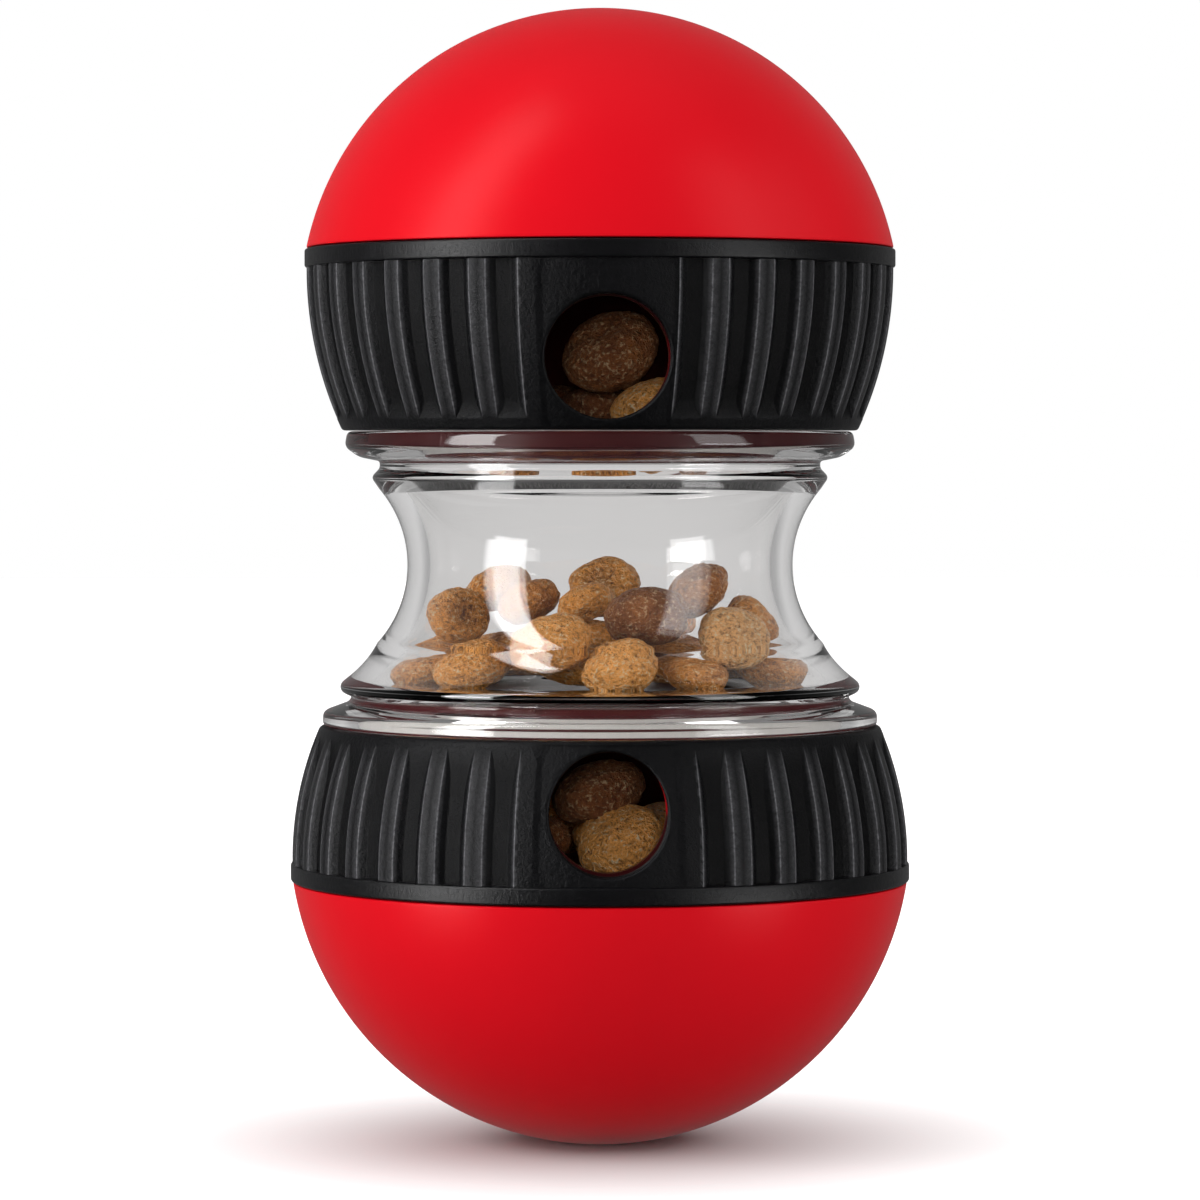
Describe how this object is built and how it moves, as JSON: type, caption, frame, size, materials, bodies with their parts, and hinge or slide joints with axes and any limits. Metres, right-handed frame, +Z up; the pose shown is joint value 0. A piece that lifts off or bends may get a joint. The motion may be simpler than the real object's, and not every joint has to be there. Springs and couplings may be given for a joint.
{
  "type": "treat ball",
  "caption": "Self-righting hourglass food tumbler: weighted round ends with ported grip rings, screwed to a clear waist that holds kibble.",
  "frame": {"origin": "middle of the small flat under the lower dome, on the surface it stands on", "axes": "+Z up the axis of the hourglass, -Y out of the ports"},
  "size_m": [0.09, 0.09, 0.1645],
  "materials": {
    "red_shell": "moulded red plastic with a fine satin grain",
    "red_sleeve": "moulded red plastic, smooth satin",
    "black_core": "black plastic with a satin grain",
    "black_tread": "satin black rubber with a fine grain",
    "clear_plastic": "clear moulded plastic, polished",
    "silicone": "translucent pale silicone",
    "steel": "plain steel",
    "ballast_iron": "cast iron, as cast",
    "kibble": "dry baked kibble, rough and pitted"
  },
  "bodies": {
    "base": {"lower_dome": "red_shell", "lower_dome_seal": "silicone", "ballast_weight": "ballast_iron", "ballast_screws": "steel", "lower_floor": "red_shell", "lower_sleeve": "red_sleeve", "lower_cup_screws": "steel", "lower_baffle": "black_core", "kibble_in_lower_cup": "kibble", "kibble_in_waist": "kibble"},
    "lower_ring": {"lower_ring_core": "black_core", "lower_grip_tread": "black_tread"},
    "lower_seal": {"lower_joint_seal": "silicone"},
    "waist": {"clear_waist": "clear_plastic"},
    "upper_seal": {"upper_joint_seal": "silicone"},
    "upper_end": {"upper_sleeve": "red_sleeve", "upper_baffle": "black_core", "upper_ceiling": "red_shell", "upper_dome": "red_shell", "upper_dome_seal": "silicone", "upper_cup_screws": "steel", "kibble_in_upper_cup": "kibble"},
    "upper_ring": {"upper_ring_core": "black_core", "upper_grip_tread": "black_tread"}
  },
  "joints": [
    {"name": "lower_ring_turn", "type": "hinge", "parent": "base", "child": "lower_ring", "pos_m": [0, 0, 0.05], "axis": [0, 0, 1], "range_deg": [0, 38.2]},
    {"name": "lower_joint_turn", "type": "hinge", "parent": "base", "child": "lower_seal", "pos_m": [0, 0, 0.06], "axis": [0, 0, 1], "range_deg": [0, 75]},
    {"name": "lower_joint_rise", "type": "slide", "parent": "lower_seal", "child": "waist", "axis": [0, 0, 1], "range_m": [0, 0.0025]},
    {"name": "upper_joint_rise", "type": "slide", "parent": "waist", "child": "upper_seal", "axis": [0, 0, 1], "range_m": [0, 0.0025]},
    {"name": "upper_joint_turn", "type": "hinge", "parent": "upper_seal", "child": "upper_end", "pos_m": [0, 0, 0.103], "axis": [0, 0, 1], "range_deg": [0, 75]},
    {"name": "upper_ring_turn", "type": "hinge", "parent": "upper_end", "child": "upper_ring", "pos_m": [0, 0, 0.115], "axis": [0, 0, -1], "range_deg": [0, 37.6]}
  ],
  "couplings": [
    {"joint": "lower_joint_rise", "follows": "lower_joint_turn", "m_per_rad": 0.0019099},
    {"joint": "upper_joint_rise", "follows": "upper_joint_turn", "m_per_rad": 0.0019099}
  ]
}
